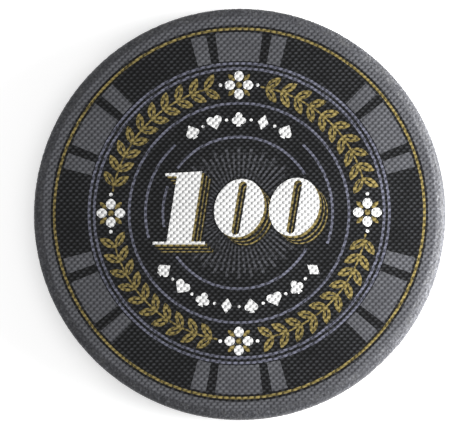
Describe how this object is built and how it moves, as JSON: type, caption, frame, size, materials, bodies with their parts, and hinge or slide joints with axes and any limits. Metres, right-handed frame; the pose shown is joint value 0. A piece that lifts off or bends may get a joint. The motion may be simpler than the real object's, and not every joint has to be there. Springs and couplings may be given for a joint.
{
  "type": "poker chip",
  "caption": "Round flat gaming chip with bevelled edges, a woven-texture face and full print on both faces and the wall; a stackable play token with face value numerals.",
  "frame": {"origin": "centre of the back face, on the surface that the chip lies on", "axes": "+Z along the chip's axis, out of the front face; +Y towards the top of the front numerals; +X to their right"},
  "size_m": [0.039, 0.039, 0.0033],
  "materials": {
    "white_resin": "matt moulded resin, mineral filled",
    "bare_white": "undyed resin with a fine woven relief, satin",
    "black_print": "black dye in the woven resin skin, satin",
    "charcoal_print": "charcoal dye in the woven resin skin, satin",
    "gold_print": "gold-tone dye in the woven resin skin, satin",
    "slate_print": "blue-grey dye in the woven resin skin, satin",
    "ash_print": "ash-grey dye in the woven resin skin, satin"
  },
  "bodies": {
    "root": {"blank": "white_resin", "front_rim": "charcoal_print", "back_rim": "charcoal_print", "front_field": "black_print", "front_edge_spots": "charcoal_print", "front_gold_ring": "gold_print", "front_ring_lines": "slate_print", "front_wreath": "gold_print", "front_rosettes": "bare_white", "front_rosette_sepals": "gold_print", "front_sunburst": "ash_print", "front_suit_pips": "bare_white", "front_numerals": "bare_white", "front_numeral_shade": "gold_print", "back_field": "black_print", "back_edge_spots": "charcoal_print", "back_gold_ring": "gold_print", "back_ring_lines": "slate_print", "back_wreath": "gold_print", "back_rosettes": "bare_white", "back_rosette_sepals": "gold_print", "back_sunburst": "ash_print", "back_suit_pips": "bare_white", "back_numerals": "bare_white", "back_numeral_shade": "gold_print", "edge_band": "black_print", "edge_lines": "slate_print", "edge_numerals": "bare_white", "edge_numeral_shade": "gold_print"}
  },
  "joints": []
}
